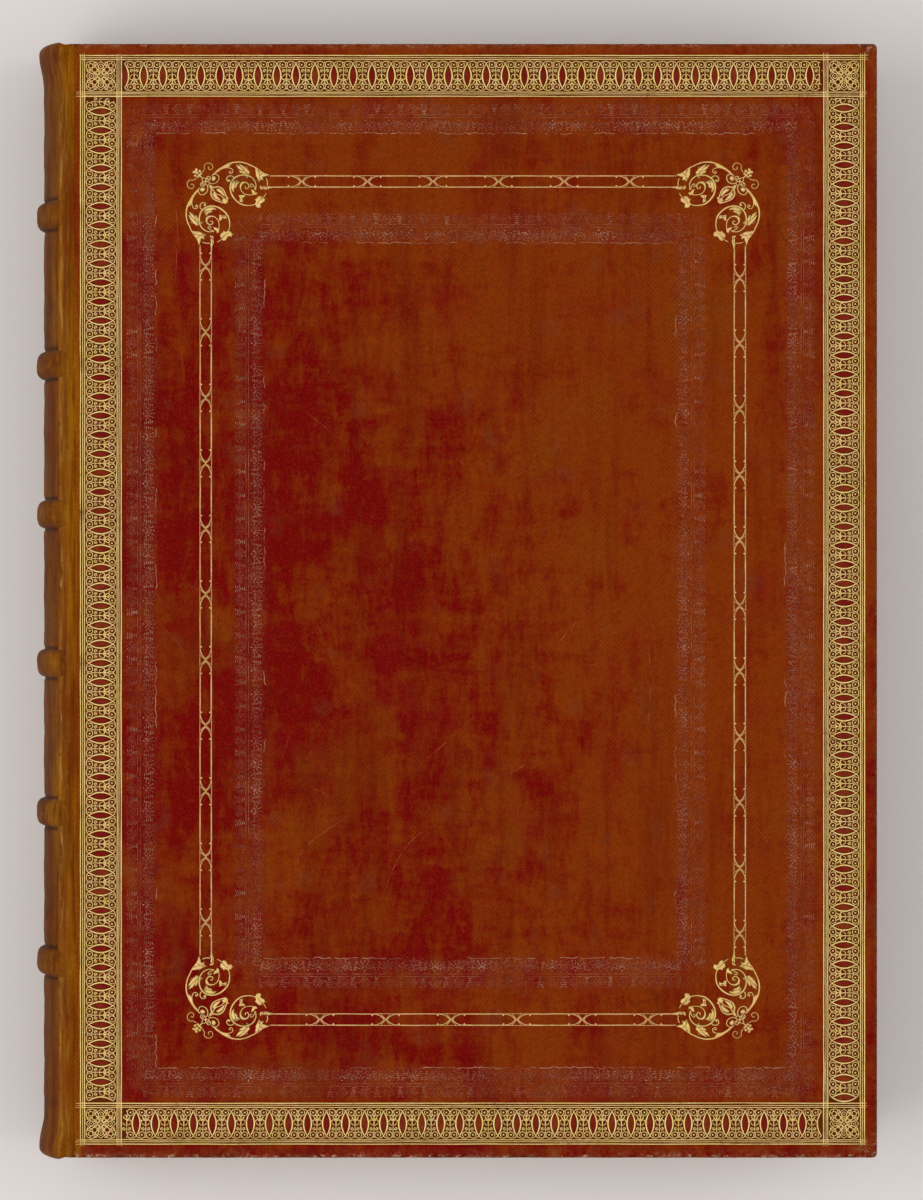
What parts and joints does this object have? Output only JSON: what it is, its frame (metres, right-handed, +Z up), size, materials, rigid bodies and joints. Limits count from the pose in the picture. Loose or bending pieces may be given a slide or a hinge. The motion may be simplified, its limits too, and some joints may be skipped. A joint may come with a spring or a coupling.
{
  "type": "antique leather book",
  "caption": "Large antique full-leather book with raised bands, gilt roll border, gilt chain panel and covers that open.",
  "frame": {"origin": "under the middle of the closed book, on the surface that its lower cover lies on", "axes": "+X from the back to the fore edge, +Y from tail to head, +Z up through the upper cover"},
  "size_m": [0.3074, 0.407, 0.0618],
  "materials": {
    "cover_leather": "semi-gloss",
    "spine_leather": "semi-gloss",
    "gold_leaf": "satin",
    "page_edges": "matte",
    "endpaper": "matte",
    "lining_paper": "matte",
    "pasteboard": "matte",
    "cord": "matte",
    "silk": "satin"
  },
  "bodies": {
    "book_block": {"text_block": "page_edges", "front_free_endpaper": "endpaper", "rear_free_endpaper": "endpaper", "spine_lining_1": "lining_paper", "spine_lining_2": "lining_paper", "spine_lining_3": "lining_paper", "spine_lining_4": "lining_paper", "spine_lining_5": "lining_paper", "spine_lining_6": "lining_paper", "spine_lining_7": "lining_paper", "sewing_cord_1": "cord", "sewing_cord_2": "cord", "sewing_cord_3": "cord", "sewing_cord_4": "cord", "sewing_cord_5": "cord", "sewing_cord_6": "cord", "head_endband": "silk", "tail_endband": "silk", "spine_leather": "spine_leather"},
    "upper_cover": {"upper_board": "pasteboard", "upper_leather": "cover_leather", "upper_pastedown": "endpaper", "upper_slip_1": "cord", "upper_slip_2": "cord", "upper_slip_3": "cord", "upper_slip_4": "cord", "upper_slip_5": "cord", "upper_slip_6": "cord", "upper_gilt_border": "gold_leaf", "upper_gilt_panel": "gold_leaf", "upper_gilt_corners": "gold_leaf"},
    "lower_cover": {"lower_board": "pasteboard", "lower_leather": "cover_leather", "lower_pastedown": "endpaper", "lower_slip_1": "cord", "lower_slip_2": "cord", "lower_slip_3": "cord", "lower_slip_4": "cord", "lower_slip_5": "cord", "lower_slip_6": "cord", "lower_gilt_border": "gold_leaf", "lower_gilt_panel": "gold_leaf", "lower_gilt_corners": "gold_leaf"}
  },
  "joints": [
    {"name": "upper_cover_hinge", "type": "hinge", "parent": "book_block", "child": "upper_cover", "pos_m": [-0.1403, 0, 0.0618], "axis": [0, -1, 0], "range_deg": [0, 175]},
    {"name": "lower_cover_hinge", "type": "hinge", "parent": "book_block", "child": "lower_cover", "pos_m": [-0.1403, 0, 0], "axis": [0, 1, 0], "range_deg": [0, 175]}
  ]
}
